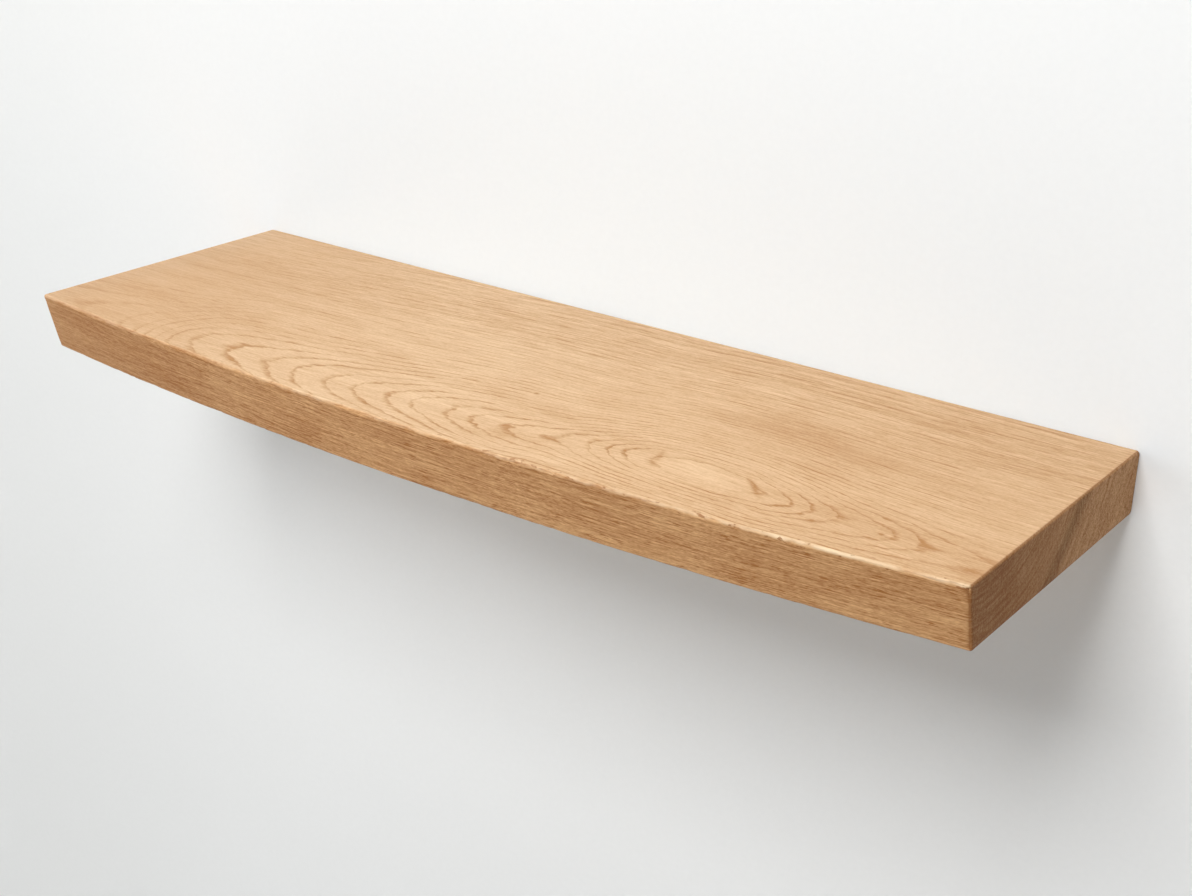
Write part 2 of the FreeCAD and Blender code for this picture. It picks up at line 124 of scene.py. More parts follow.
class SlabSkin:
    """The slab's outer skin: rings of points about the X axis, closed by a grid over each end."""

    STATIONS = 640
    ARC_STEPS = 8
    END_STEPS = 6
    LEFT_ROUND = 3.6 * MM
    RIGHT_ROUND = 1.8 * MM
    TOP_FRONT_ROUND = 2.1 * MM
    FRONT_BOTTOM_ROUND = 2.2 * MM
    BOTTOM_BACK_ROUND = 3.8 * MM
    BACK_TOP_ROUND = 4.2 * MM
    FLAT_PITCH = 22 * MM
    NEAR_EDGE = [0.6 * MM, 1.4 * MM, 2.4 * MM, 4 * MM, 7 * MM, 12 * MM]

    def __init__(self):
        turns = np.linspace(0, np.pi / 2, self.END_STEPS + 1)[1:]
        run, inset = np.sin(turns), 1 - np.cos(turns)
        left, right = self.LEFT_ROUND, self.RIGHT_ROUND
        straight = np.linspace(left - HALF_LENGTH, HALF_LENGTH - right, self.STATIONS + 1)
        xs = np.concatenate([straight[0] - left * run[::-1], straight, straight[-1] + right * run])
        insets = np.concatenate([left * inset[::-1], np.zeros_like(straight), right * inset])
        self.flat_z = self.stops(2 * HALF_THICKNESS)
        self.flat_y = self.stops(END_DEPTH)
        self.rings = np.array([self.ring(x, inset) for x, inset in zip(xs, insets)])

    def stops(self, length):
        """Places along a flat, as shares of it: close together near both edges, even between."""
        near = self.NEAR_EDGE
        count = max(2, round((length - 2 * near[-1]) / self.FLAT_PITCH))
        middle = np.linspace(near[-1], length - near[-1], count + 1)[1:-1]
        return np.array([*near, *middle, *(length - np.array(near[::-1]))]) / length

    def ring(self, x, inset):
        """One section: four rounded corners with flats between, from the top front edge downwards."""
        long_wave, short_wave = wavering(x, 0.26, 3), wavering(x, 0.031, 8)
        planed_off = (0.35 + 0.3 * (1 + long_wave) + 0.1 * (1 + short_wave)) * MM
        lean = math.atan2(UNDERCUT, 2 * HALF_THICKNESS)
        face = (-math.cos(lean), -math.sin(lean))
        edge = (planed_off - front_depth(x), HALF_THICKNESS)
        top = ((0, 1), HALF_THICKNESS)
        front = (face, float(np.dot(face, edge)))
        bottom = ((0, -1), HALF_THICKNESS)
        back = ((1, 0), 0.0)
        corners = (
            (top, front, self.TOP_FRONT_ROUND + 0.5 * MM * wavering(x, 0.19, 11)),
            (front, bottom, self.FRONT_BOTTOM_ROUND + 0.4 * MM * wavering(x, 0.21, 13)),
            (bottom, back, self.BOTTOM_BACK_ROUND),
            (back, top, self.BACK_TOP_ROUND),
        )
        arcs = [self.arc(first, second, radius, inset) for first, second, radius in corners]
        ring = []
        for j, arc in enumerate(arcs):
            start, end = arc[-1], arcs[(j + 1) % 4][0]
            shares = self.flat_z if j in (0, 2) else self.flat_y
            ring += [*arc, *(start + np.outer(shares, end - start))]
        return np.column_stack([np.full(len(ring), x), ring])

    def arc(self, first, second, radius, inset):
        """The rounded corner between two planes, each given as its outward normal and its distance."""
        (normal_1, reach_1), (normal_2, reach_2) = first, second
        hold = max(radius, inset)
        centre = np.linalg.solve([normal_1, normal_2], [reach_1 - hold, reach_2 - hold])
        start = math.atan2(normal_1[1], normal_1[0])
        end = math.atan2(normal_2[1], normal_2[0])
        if end < start:
            end += 2 * math.pi
        angles = np.linspace(start, end, self.ARC_STEPS + 1)
        return centre + max(radius - inset, 0) * np.stack([np.cos(angles), np.sin(angles)], -1)

    def normals(self):
        """Outward directions at the rings' points."""
        along = np.gradient(self.rings, axis=0)
        about = np.roll(self.rings, -1, axis=1) - np.roll(self.rings, 1, axis=1)
        across = np.cross(along, about)
        across /= np.maximum(np.linalg.norm(across, axis=-1, keepdims=True), 1e-12)
        outwards = np.sum(across * (self.rings - self.rings.mean(axis=1, keepdims=True)))
        return across if outwards > 0 else -across

    def mesh(self):
        """Points and faces: quads along the skin, then the two ends."""
        count, around = self.rings.shape[:2]
        faces = []
        for i in range(count - 1):
            for j in range(around):
                a, b = i * around + j, i * around + (j + 1) % around
                faces.append((a, b, b + around, a + around))
        points = self.rings.reshape(-1, 3)
        extra = []
        for base in (0, (count - 1) * around):
            faces += self.end_faces(points, base, around, extra)
        return np.vstack([points, extra]), faces

    def end_faces(self, points, base, around, extra):
        """A flat end: a grid between the four flats, and a small fan in each rounded corner."""
        arc, nz, ny = self.ARC_STEPS + 1, len(self.flat_z), len(self.flat_y)
        starts = (0, arc + nz, 2 * arc + nz + ny, 3 * arc + 2 * nz + ny)
        arcs = [[base + s + k for k in range(arc)] for s in starts]
        flats = [[base + s + arc + k for k in range(n)] for s, n in zip(starts, (nz, ny, nz, ny))]
        front = [arcs[0][-1], *flats[0], arcs[1][0]]
        bottom = [arcs[1][-1], *flats[1], arcs[2][0]]
        back = [arcs[2][-1], *flats[2], arcs[3][0]][::-1]
        top = [arcs[3][-1], *flats[3], arcs[0][0]][::-1]
        upper_z, lower_z = points[front[0]][2], points[front[-1]][2]
        grid = [top]
        for r in range(1, len(front) - 1):
            share = (upper_z - points[front[r]][2]) / (upper_z - lower_z)
            row = [front[r]]
            for upper, lower in zip(top[1:-1], bottom[1:-1]):
                row.append(len(points) + len(extra))
                extra.append(points[upper] * (1 - share) + points[lower] * share)
            grid.append([*row, back[r]])
        grid.append(bottom)
        faces = [
            (grid[r][c], grid[r + 1][c], grid[r + 1][c + 1], grid[r][c + 1])
            for r in range(len(grid) - 1)
            for c in range(len(top) - 1)
        ]
        fans = [(*arcs[0], front[1]), (front[-2], *arcs[1]), (*arcs[2], back[-2]), (back[1], *arcs[3])]
        return faces + fans


TOP_SCARS, BOTTOM_SCARS, RIGHT_SCARS, LEFT_SCARS = 95, 40, 26, 12
SCAR_ENDS = (-0.39, 0.397)


def scars():
    """Small tear-outs along the worked edges: place in metres, then length, width and depth in mm."""
    rng = np.random.default_rng(41)
    found = []
    for _ in range(TOP_SCARS):
        x = rng.uniform(*SCAR_ENDS)
        y = -front_depth(x) + rng.uniform(0.6, 1.8) * MM
        z = HALF_THICKNESS - 0.4 * MM - abs(rng.normal(0, 1.2 * MM))
        length, width, depth = rng.uniform(1.6, 4.2), rng.uniform(1.0, 1.8), rng.uniform(0.15, 0.45)
        found.append(((x, y, z), length, width, depth))
    for _ in range(BOTTOM_SCARS):
        x = rng.uniform(*SCAR_ENDS)
        y = -front_depth(x) + UNDERCUT + 0.8 * MM
        place = (x, y, -HALF_THICKNESS + 0.6 * MM)
        found.append((place, rng.uniform(1.5, 3.5), 1.3, rng.uniform(0.1, 0.3)))
    for side, count in ((1, RIGHT_SCARS), (-1, LEFT_SCARS)):
        for _ in range(count):
            z = rng.uniform(-21, 21) * MM
            lean = UNDERCUT * (HALF_THICKNESS - z) / (2 * HALF_THICKNESS)
            x, y = side * (HALF_LENGTH - 0.6 * MM), -front_depth(HALF_LENGTH) + lean + 0.6 * MM
            length, width, depth = rng.uniform(1.0, 2.0), rng.uniform(0.8, 1.4), rng.uniform(0.3, 0.8)
            found.append(((x, y, z), length, width, depth))
    return found


def wear(skin):
    """Presses the scars into the skin."""
    points, outward = skin.rings.reshape(-1, 3), skin.normals().reshape(-1, 3)
    moved = points.copy()
    for centre, along, across, deep in scars():
        near = np.abs(points[:, 0] - centre[0]) < 3 * along * MM
        off = (points[near] - centre) / (np.array([along, across, across]) * MM)
        moved[near] -= outward[near] * (deep * MM * np.exp(-np.sum(off**2, axis=1)))[:, None]
    skin.rings = moved.reshape(skin.rings.shape)


def cutter(name, work, place=Matrix.Identity(4)):
    """Turns a bmesh into an object at its place, to be cut out of the slab."""
    bmesh.ops.recalc_face_normals(work, faces=work.faces)
    mesh = bpy.data.meshes.new(name)
    work.to_mesh(mesh)
    work.free()
    mesh.transform(place)
    return link(name, mesh)


def turned(profile, steps=48):
    """A solid of revolution about Z, from (radius, height) points that start and end on the axis."""
    work = bmesh.new()
    verts = [work.verts.new((radius, 0, height)) for radius, height in profile]
    edges = [work.edges.new(pair) for pair in zip(verts, verts[1:])]
    bmesh.ops.spin(
        work, geom=verts + edges, cent=(0, 0, 0), axis=(0, 0, 1), angle=2 * math.pi, steps=steps
    )
    bmesh.ops.remove_doubles(work, verts=work.verts, dist=1e-7)
    return work


def recess_cutter():
    """The bar's outline with a gap all round, as deep as the bar and a gap, open behind the slab."""
    low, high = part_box("bracket_bar")
    radius = BAR_CORNER + FIT_GAP
    wide, tall = high.x + FIT_GAP - radius, high.z + FIT_GAP - radius
    work = bmesh.new()
    outline = []
    for turn, (side_x, side_z) in enumerate(((1, 1), (-1, 1), (-1, -1), (1, -1))):
        for angle in np.linspace(turn * np.pi / 2, (turn + 1) * np.pi / 2, 7):
            x, z = side_x * wide + radius * math.cos(angle), side_z * tall + radius * math.sin(angle)
            outline.append(work.verts.new((x, low.y - FIT_GAP, z)))
    floor_face = work.faces.new(outline)
    grown = bmesh.ops.extrude_face_region(work, geom=[floor_face])["geom"]
    behind = [v for v in grown if isinstance(v, bmesh.types.BMVert)]
    bmesh.ops.translate(work, verts=behind, vec=(0, CUT_PAST_BACK - low.y, 0))
    return cutter("cut_recess", work)


def slab_cutters():
    """What is cut out of the slab: the bar's recess, the rods' bores and the holes for the inserts."""
    cutters = [recess_cutter()]
    to_front = Matrix.Rotation(math.radians(90), 4, "X")
    for place in range(1, 5):
        low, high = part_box(f"support_rod_{place}")
        radius, end = (high.x - low.x) / 2 + FIT_GAP, -low.y + BORE_RUN_ON
        profile = [(0, -MM), (radius, -MM), (radius, end), (0, end + radius * DRILL_POINT)]
        middle = Matrix.Translation(((low.x + high.x) / 2, 0, 0))
        cutters.append(cutter(f"cut_bore_{place}", turned(profile), middle @ to_front))
    for side in ("left", "right"):
        low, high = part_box(f"insert_nut_{side}")
        centre, open_end = (low + high) / 2, -HALF_THICKNESS - MM
        flange = (high.x - low.x) / 2 + INSERT_GAP
        flange_top, body_top = low.z + INSERT_FLANGE, high.z + INSERT_GAP
        profile = [(0, open_end), (flange, open_end), (flange, flange_top), (INSERT_HOLE, flange_top)]
        profile += [(INSERT_HOLE, body_top), (SCREW_HOLE, body_top), (SCREW_HOLE, 0), (0, 0)]
        middle = Matrix.Translation((centre.x, centre.y, 0))
        cutters.append(cutter(f"cut_insert_{side}", turned(profile), middle))
    return cutters


def make_slab():
    """The oak slab: its skin with the wear pressed in, then the recess, bores and holes cut out."""
    skin = SlabSkin()
    wear(skin)
    points, faces = skin.mesh()
    rough = bpy.data.meshes.new("rough_slab")
    rough.from_pydata(points.tolist(), [], faces)
    work = bmesh.new()
    work.from_mesh(rough)
    bmesh.ops.remove_doubles(work, verts=work.verts, dist=2e-6)
    bmesh.ops.dissolve_degenerate(work, edges=work.edges, dist=1e-6)
    bmesh.ops.recalc_face_normals(work, faces=work.faces)
    work.to_mesh(rough)
    work.free()
    slab = link("oak_slab", rough)
    cutters = slab_cutters()
    for tool in cutters:
        cut = slab.modifiers.new(tool.name, "BOOLEAN")
        cut.operation = "DIFFERENCE"
        cut.solver = "EXACT"
        cut.object = tool
    graph = bpy.context.evaluated_depsgraph_get()
    slab_mesh = bpy.data.meshes.new_from_object(slab.evaluated_get(graph))
    slab.modifiers.clear()
    slab.data = slab_mesh
    for spare in (rough, *(tool.data for tool in cutters)):
        bpy.data.meshes.remove(spare)
    slab_mesh.name = "oak_slab"
    slab_mesh.shade_smooth()
    slab_mesh.set_sharp_from_angle(angle=math.radians(35))
    return slab


# ------------------------------------------------------------------ building materials from nodes


def srgb(red, green, blue):
    """A colour as it looks on screen, 0 to 255, turned into the linear colour that a shader takes."""
    shares = [channel / 255 for channel in (red, green, blue)]
    return (*[c / 12.92 if c <= 0.04045 else ((c + 0.055) / 1.055) ** 2.4 for c in shares], 1)


class Signal:
    """A number on a node's output. Arithmetic on it adds Math nodes to the same material."""

    def __init__(self, finish, socket):
        self.finish, self.socket = finish, socket

    def math(self, operation, *others):
        return self.finish.math(operation, self, *others)

    def __add__(self, other):
        return self.math("ADD", other)

    __radd__ = __add__

    def __sub__(self, other):
        return self.math("SUBTRACT", other)

    def __rsub__(self, other):
        return self.finish.math("SUBTRACT", other, self)

    def __mul__(self, other):
        return self.math("MULTIPLY", other)

    def __truediv__(self, other):
        return self.math("DIVIDE", other)

    def __abs__(self):
        return self.math("ABSOLUTE")

    def hypot(self, other):
        return (self * self + other * other).math("SQRT")

    def bell(self, centre, width):
        """1 at the centre, falling away on both sides like a bell."""
        off = (self - centre) / width
        return (off * off * -1).math("EXPONENT")

    def step(self, low, high, out_low=0.0, out_high=1.0):
        """A smooth step from one value to another as the number goes from low to high."""
        node = self.finish.node("ShaderNodeMapRange", interpolation_type="SMOOTHSTEP")
        for socket, value in zip(node.inputs, (self, low, high, out_low, out_high)):
            self.finish.put(socket, value)
        return Signal(self.finish, node.outputs[0])


class Finish:
    """A material built from nodes on a Principled shader."""

    def __init__(self, name):
        self.material = bpy.data.materials.new(name)
        self.material.use_nodes = True
        self.tree = self.material.node_tree
        self.tree.nodes.clear()
        self.surface = self.node("ShaderNodeBsdfPrincipled")
        self.output = self.node("ShaderNodeOutputMaterial")
        self.tree.links.new(self.surface.outputs[0], self.output.inputs[0])
        texture_place = self.node("ShaderNodeTexCoord")
        self.normal = texture_place.outputs["Normal"]
        self.place = self.vector("SCALE", texture_place.outputs["Object"], scale=1 / MM)
        self.x, self.y, self.z = self.split(self.place)

    def node(self, kind, **settings):
        made = self.tree.nodes.new(kind)
        for key, value in settings.items():
            setattr(made, key, value)
        return made

    def put(self, socket, value):
        """Sets an input to a number or colour, or links a node's output to it."""
        if isinstance(value, Signal):
            value = value.socket
        if isinstance(value, bpy.types.NodeSocket):
            self.tree.links.new(value, socket)
        else:
            socket.default_value = value

    def set(self, **inputs):
        """Sets the shader's own inputs by name, with _ for a space."""
        for name, value in inputs.items():
            self.put(self.surface.inputs[name.replace("_", " ")], value)

    def math(self, operation, *values):
        node = self.node("ShaderNodeMath", operation=operation)
        for socket, value in zip(node.inputs, values):
            self.put(socket, value)
        return Signal(self, node.outputs[0])

    def vector(self, operation, *values, scale=None):
        node = self.node("ShaderNodeVectorMath", operation=operation)
        for socket, value in zip(node.inputs, values):
            self.put(socket, value)
        if scale is not None:
            node.inputs["Scale"].default_value = scale
        return node.outputs[0]

    def split(self, vector):
        node = self.node("ShaderNodeSeparateXYZ")
        self.put(node.inputs[0], vector)
        return [Signal(self, socket) for socket in node.outputs]

    def join(self, *parts):
        node = self.node("ShaderNodeCombineXYZ")
        for socket, value in zip(node.inputs, parts):
            self.put(socket, value)
        return node.outputs[0]

    def noise(self, size, detail=2.0, rough=0.5, seed=0.0, place=None):
        """Noise between about -1 and 1, with features of a size in mm along each axis."""
        sizes = size if isinstance(size, tuple) else (size, size, size)
        scaled = self.vector("MULTIPLY", place or self.place, tuple(1 / s for s in sizes))
        moved = self.vector("ADD", scaled, (seed, seed * 1.7, seed * 2.3))
        node = self.node("ShaderNodeTexNoise")
        inputs = {"Vector": moved, "Scale": 1.0, "Detail": detail, "Roughness": rough}
        for name, value in inputs.items():
            self.put(node.inputs[name], value)
        return (Signal(self, node.outputs["Fac"]) - 0.5) * 3.2

    def chance(self, value):
        """A random number from 0 to 1 for each value."""
        node = self.node("ShaderNodeTexWhiteNoise", noise_dimensions="1D")
        self.put(node.inputs["W"], value)
        return Signal(self, node.outputs["Value"])

    def curve(self, value, low, high, points):
        """A smooth curve through (place, value) points, for a number from low to high."""
        top = max(v for _, v in points)
        node = self.node("ShaderNodeFloatCurve")
        line = node.mapping.curves[0]
        for at, v in points[1:-1]:
            line.points.new((at - low) / (high - low), v / top)
        line.points[0].location = (0, points[0][1] / top)
        line.points[-1].location = (1, points[-1][1] / top)
        node.mapping.update()
        self.put(node.inputs["Value"], (value - low) / (high - low))
        return Signal(self, node.outputs[0]) * top

    def mix(self, share, first, second, blend="MIX"):
        """The first colour, changed into the second, or multiplied by it, over a share."""
        node = self.node("ShaderNodeMix", data_type="RGBA", blend_type=blend)
        self.put(node.inputs[0], share)
        self.put(node.inputs[6], first)
        self.put(node.inputs[7], second)
        return node.outputs[2]

    def bump(self, height, distance):
        """Surface relief from a height between 0 and 1, for a depth in mm."""
        node = self.node("ShaderNodeBump")
        node.inputs["Strength"].default_value = 1.0
        node.inputs["Distance"].default_value = distance * MM
        self.put(node.inputs["Height"], height)
        self.put(self.surface.inputs["Normal"], node.outputs[0])


# ------------------------------------------------------------------ finishes

# Rings counted from the pith are RING_SCALE times the distance in mm to the power RING_POWER, so that
# they grow wider outwards. FIRST_RING just touches the top face, 38 mm from the pith.
RING_POWER = 0.303
RING_SCALE = 17.66
FIRST_RING = RING_SCALE * 38**RING_POWER
BOARD = (-400, 400)
ARCHES = (
    # place along the shelf in mm, and how many rings out from the first the arches' axis lies there
    (-400, 22.5), (-340, 21.8), (-302, 21), (-282, 20), (-268, 19), (-257, 18), (-246, 17),
    (-226, 16), (-192, 15), (-150, 14), (-123, 13), (-97, 12), (-70, 11), (-43, 10), (-20, 9),
    (6, 8), (31, 7), (62, 6), (101, 5), (120, 4), (133, 3), (147, 2), (165, 1), (190, 0.2),
    (215, 0.2), (240, 1), (263, 2), (280, 3), (302, 4), (335, 5), (361, 6), (400, 6.8),
)
AXIS_BASE = -250
AXIS = (
    # place along the shelf, and how far the arches' axis lies behind AXIS_BASE, in mm
    (-400, 7), (-240, 9), (-100, 10), (0, 18), (60, 19),
    (110, 29), (195, 37), (263, 32), (335, 29), (400, 28),
)
WOBBLES = (
    # unevenness of the rings: size of its features, detail, seed, and reach in mm
    ((90, 40, 40), 1, 1.3, 0.35),
    ((25, 12, 12), 1, 5.1, 0.35),
    ((8, 5, 5), 2, 9.7, 0.42),
)
KNOTS = ((289, -230), (330, -221), (36, -171))
SMUDGES = (
    # patches in the top: place, half length and half width in mm, slant, and strength
    (237, -211, 2.6, 9, 0.94, 0.8),
    (165, -209, 2.4, 12, 0.3, 0.5),
    (64, -243, 10, 5, 0, 0.4),
    (-92, -213, 6, 7, -2, 0.45),
    (46, -251, 9, 4, 0, 0.4),
    (224, -124, 60, 30, 0, 0.3),
    (80, -196, 28, 6, 0, 0.3),
    (-90, -178, 18, 8, 0, 0.25),
    (394, -234, 9, 8, 0, 0.45),
    # the pale middle of the eye
    (202, -211, 34, 12, 0, -0.35),
)
PALE_OAK, DARK_OAK = srgb(247, 218, 180), srgb(178, 129, 79)
# The pale colour of the top front edge is partly wear and partly a painted highlight.
RUBBED_AND_HIGHLIT_OAK, BURNT_OAK, NICKED_OAK = srgb(252, 230, 194), srgb(156, 102, 56), srgb(158, 102, 56)


class Oak(Finish):
    """Oiled solid oak: growth rings, open pores, rays, and a darker cut on the front and ends, deepened on
    the front by painted shade.

    Its tone is a number that runs from -1, pale oak, to 1, dark oak.
    """

    def __init__(self):
        super().__init__("oiled_oak")
        self.count_rings()
        self.tell_faces_apart()
        self.grow_early_wood()
        self.lay_fibres()
        tone = self.grain_tone() + self.board_tone() + self.end_tone() + self.spot_tone()
        colour = self.tinted(self.mix(tone * 0.5 + 0.5, PALE_OAK, DARK_OAK))
        gloss = self.noise(30, 2, seed=41) * 0.04 + self.pores * 0.15 + self.on_end * 0.2 + 0.56
        self.set(Base_Color=self.with_worn_and_highlit_edges(colour), Roughness=gloss, Specular_IOR_Level=0.2)
        raised = self.streaks * -0.15 + self.fine * -0.15
        self.bump(raised - self.pores * 0.8 - self.early * 0.25 - self.marks * 0.5, 0.12)

    def count_rings(self):
        """How many rings out each place is. The pith runs just above the top face, near the front."""
        shift = self.curve(self.x, *BOARD, AXIS) * self.y.step(-190, -30, 1, 0.4)
        shift += self.x.step(-420, 0, -32, 0) * self.y.step(-170, -80)
        self.side = self.y - shift - AXIS_BASE
        outward = (self.curve(self.x, *BOARD, ARCHES) + FIRST_RING) / RING_SCALE
        below_top = HALF_THICKNESS / MM - self.z
        height = outward.math("POWER", 1 / RING_POWER) + below_top * 1.5
        self.radius = self.side.hypot(height)
        for size, detail, seed, reach in WOBBLES:
            self.radius += self.noise(size, detail, seed=seed) * reach
        self.rings = self.radius.math("POWER", RING_POWER) * RING_SCALE - FIRST_RING
        along_ring = self.join(self.x, self.rings, 0.0)
        self.rings += self.noise((300, 1.7, 1), 1, seed=3.3, place=along_ring) * 0.25
        self.across = self.math("ARCTAN2", self.side, height) * self.radius

    def tell_faces_apart(self):
        """Which way the surface faces in the slab's own frame. The top goes with the back and underside."""
        self.face_x, face_y, _ = self.split(self.normal)
        self.on_end = abs(self.face_x).step(0.45, 0.9)
        self.on_front = (face_y * -1).step(0.3, 0.9)
        self.on_top = (1 - self.on_front) * (1 - self.on_end)

    def grow_early_wood(self):
        """A dark porous line where a ring starts, fading outwards, broken into dashes."""
        ring = self.rings.math("FLOOR")
        phase = self.rings - ring
        dashes = self.noise((40, 3, 3), 2, 0.6, seed=2.2).step(-0.9, 0.7, 0.3, 1.1)
        patches = self.noise((50, 16, 16), 2, seed=6.4).step(-0.6, 0.8)
        fading = phase.step(0.0, patches * 0.3 + 0.14, 1, 0)
        early = fading.math("MAXIMUM", phase.step(0.91, 1.0))
        early *= (self.chance(ring) * 0.6 + 0.5) * (patches * 0.5 + 0.55) * dashes
        early *= self.rings.step(0.86, 0.92) * (self.side.bell(0, 75) * 0.5 + 0.7)
        self.early = early * self.x.step(310, 390, 1, 0.4) * self.x.step(-330, -60, 0.5, 1)

    def lay_fibres(self):
        """Streaks along the grain, pores in them, soft clouds, and dark marks on the front."""
        self.grain = self.join(self.x, self.side, self.z)
        self.flat = self.join(self.x, 0.0, self.z)
        self.streaks = self.noise((34, 1.7, 1.7), 3, 0.6, seed=11, place=self.grain)
        self.fine = self.noise((10, 0.9, 0.9), 2, 0.6, seed=17, place=self.grain)
        pores = self.noise((9, 1.0, 1.0), 1, seed=23, place=self.grain).step(0.3, 0.9)
        self.pores = pores * (self.early * 0.9 + 0.35)
        self.clouds = self.noise((70, 34, 34), 2, seed=31)
        marks = self.noise((11, 1, 0.8), 1, seed=43, place=self.flat).step(0.22, 0.45)
        marks *= self.noise((24, 9, 9), 2, 0.6, seed=47).step(-0.3, 0.6)
        self.marks = marks * self.x.step(-300, 100, 0.4, 1) * self.on_front

    def grain_tone(self):
        """Early wood and fibres together, stronger at the back, on the front and on the ends."""
        at_back = self.y.step(-150, -60)
        long_streaks = self.noise((130, 3.0, 3.0), 2, 0.6, seed=13, place=self.grain) * at_back
        lines = self.noise((45, 1, 0.95), 2, 0.6, seed=61, place=self.flat) * self.on_front
        flecks = self.noise((2.6, 1.2, 1.2), 1, seed=19)
        bands = self.noise((400, 20, 20), 2, seed=29, place=self.grain)
        tone = self.early * (self.on_front * -0.5 + 1.05) + self.pores * 0.6
        tone += (bands * 0.18 + self.clouds * 0.12) * (1 - self.on_end * 0.6)
        tone += self.streaks * (at_back * 0.16 + 0.36)
        tone += self.fine * (self.on_front * 0.4 + at_back * 0.16 + 0.28)
        tone += flecks * (self.on_front * 0.15 + 0.2) + long_streaks * 0.28
        tone += lines * 0.8 + self.marks * 1.7
        return tone * (self.on_end * 0.9 + 1) * self.x.step(-400, -140, 0.6, 1)

    def board_tone(self):
        """Broad changes of tone over the board, on the front partly painted shade and light."""
        towards_ends = abs(self.x - 20).step(110, 330) * 0.16
        back = self.y.step(-150, -30) * 0.05 + self.side.bell(195, 16) * 0.15
        left = self.x.step(-330, -60, 0.2, 0) * self.y.step(-130, -60, 1, 0) * self.on_top
        near_front = self.y.step(-210, -150, 0.05, 0)
        # On the front: darker at the left and lighter at the right, partly cloudy wood and partly painted
        # shade and light that even out how the lamps fall along it.
        front = self.on_front * (self.x.step(*BOARD, 0.2, -0.3) + self.clouds * 0.22)
        return towards_ends + back + left + near_front + front

    def end_tone(self):
        """On the ends: the rings as soft arcs, the rays across them, and a darker band."""
        along_rings = self.join(self.x, self.rings, self.across)
        arcs = (self.rings * 3.6 + self.clouds * 1.5).math("COSINE")
        arcs *= self.noise((300, 3, 45), 1, seed=69, place=along_rings)
        arcs += self.noise((300, 0.8, 60), 2, 0.6, seed=67, place=along_rings) * 0.6
        along_rays = self.join(self.x, self.radius, self.across)
        self.dark_band = (self.y - self.z + 113).bell(0, 11)
        rays = self.noise((14, 11, 0.9), 1, seed=37, place=along_rays) * (self.dark_band * 0.7 + 0.35)
        shade = self.y.step(-200, -20, 0.2, -0.5) + self.dark_band * 0.4 + self.clouds * 0.12
        return self.on_end * (shade + arcs * 0.6 + rays)

    def spot_tone(self):
        """Smudges and pin knots in the top."""
        spots = 0
        for x, y, half_length, half_width, slant, strength in SMUDGES:
            along = (self.x - x + (self.y - y) * slant) / half_length
            off = along.hypot((self.y - y) / half_width) + self.streaks * 0.3
            spots += off.bell(0, 1) * strength
        for x, y in KNOTS:
            spots += (self.x - x).hypot((self.y - y) * 1.3).bell(0, 1.7)
        return spots * self.on_top

    def tinted(self, colour):
        """Warmer at the right of the top and greyer at its left, and darker on the front and the ends: on
        the ends the end grain, on the front partly edge grain and partly painted shade.
        """
        right = self.x.step(-100, 300) * self.on_top
        left = self.x.step(-400, -340, 0.6, 0) * self.on_top
        colour = self.mix(right, colour, (1.0, 0.975, 0.94, 1), "MULTIPLY")
        colour = self.mix(left, colour, (0.94, 0.955, 1.0, 1), "MULTIPLY")
        # The front's darker, redder colour is partly its edge grain and partly painted shade.
        front = self.mix(self.x.step(-400, 0), (0.815, 0.66, 0.49, 1), (0.825, 0.65, 0.47, 1))
        colour = self.mix(self.on_front, colour, front, "MULTIPLY")
        end = self.mix(self.y.step(-230, -20), (0.54, 0.405, 0.29, 1), (0.64, 0.495, 0.37, 1))
        end = self.mix(self.dark_band * 0.85, end, (0.45, 0.36, 0.265, 1))
        return self.mix(self.on_end, colour, end, "MULTIPLY")

    def from_top_front_edge(self):
        """How far in mm each place lies from the slab's top front edge, over the two faces."""
        bow = BOW_RADIUS / MM
        front = (END_DEPTH + BOW_RISE - BOW_RADIUS) / MM
        behind_front = self.y + (bow * bow - self.x * self.x).math("SQRT") + front
        below_top = HALF_THICKNESS / MM - self.z
        return behind_front + below_top * (1 - UNDERCUT / (2 * HALF_THICKNESS))

    def with_worn_and_highlit_edges(self, colour):
        """Ragged brown edges at the right end. The top front edge is worn pale and carries a painted
        highlight, with small dark nicks.
        """
        ragged = self.noise((3, 2, 3), 2, 0.6, seed=71).step(-1.0, 0.3, 0.3, 0.9)
        end_edge = abs(self.face_x).bell(0.55, 0.25) * self.x.step(0, 1)
        colour = self.mix(end_edge * ragged, colour, BURNT_OAK)
        edge = self.from_top_front_edge()
        # Pale band along the top front edge: partly worn wood, partly a painted highlight where the rounded
        # edge meets the light.
        worn_and_highlit = self.noise((22, 5, 5), 3, 0.6, seed=53) + self.x.step(150, 390) * 0.8
        worn_and_highlit = worn_and_highlit.step(-0.7, 0.6) * self.x.step(-400, 370, 0.3, 1)
        colour = self.mix(worn_and_highlit * edge.step(1.5, 3.8, 0.9, 0), colour, RUBBED_AND_HIGHLIT_OAK)
        nicks = self.noise((7, 3, 3), 2, 0.6, seed=59).step(0.35, 0.6) * self.x.step(-300, 300, 0.3, 1)
        return self.mix(nicks * edge.step(3.5, 8.0, 0.8, 0), colour, NICKED_OAK)


def powder_coat():
    """Black powder coat: a fine orange-peel skin."""
    f = Finish("black_powder_coat")
    peel = f.noise(0.9, 2, 0.5)
    specks = f.noise(0.35, 1, seed=4).step(0.7, 1.2)
    f.set(Base_Color=f.mix(specks, srgb(38, 38, 40), srgb(58, 58, 60)), Roughness=peel * 0.05 + 0.48)
    f.bump(peel, 0.05)
    return f.material


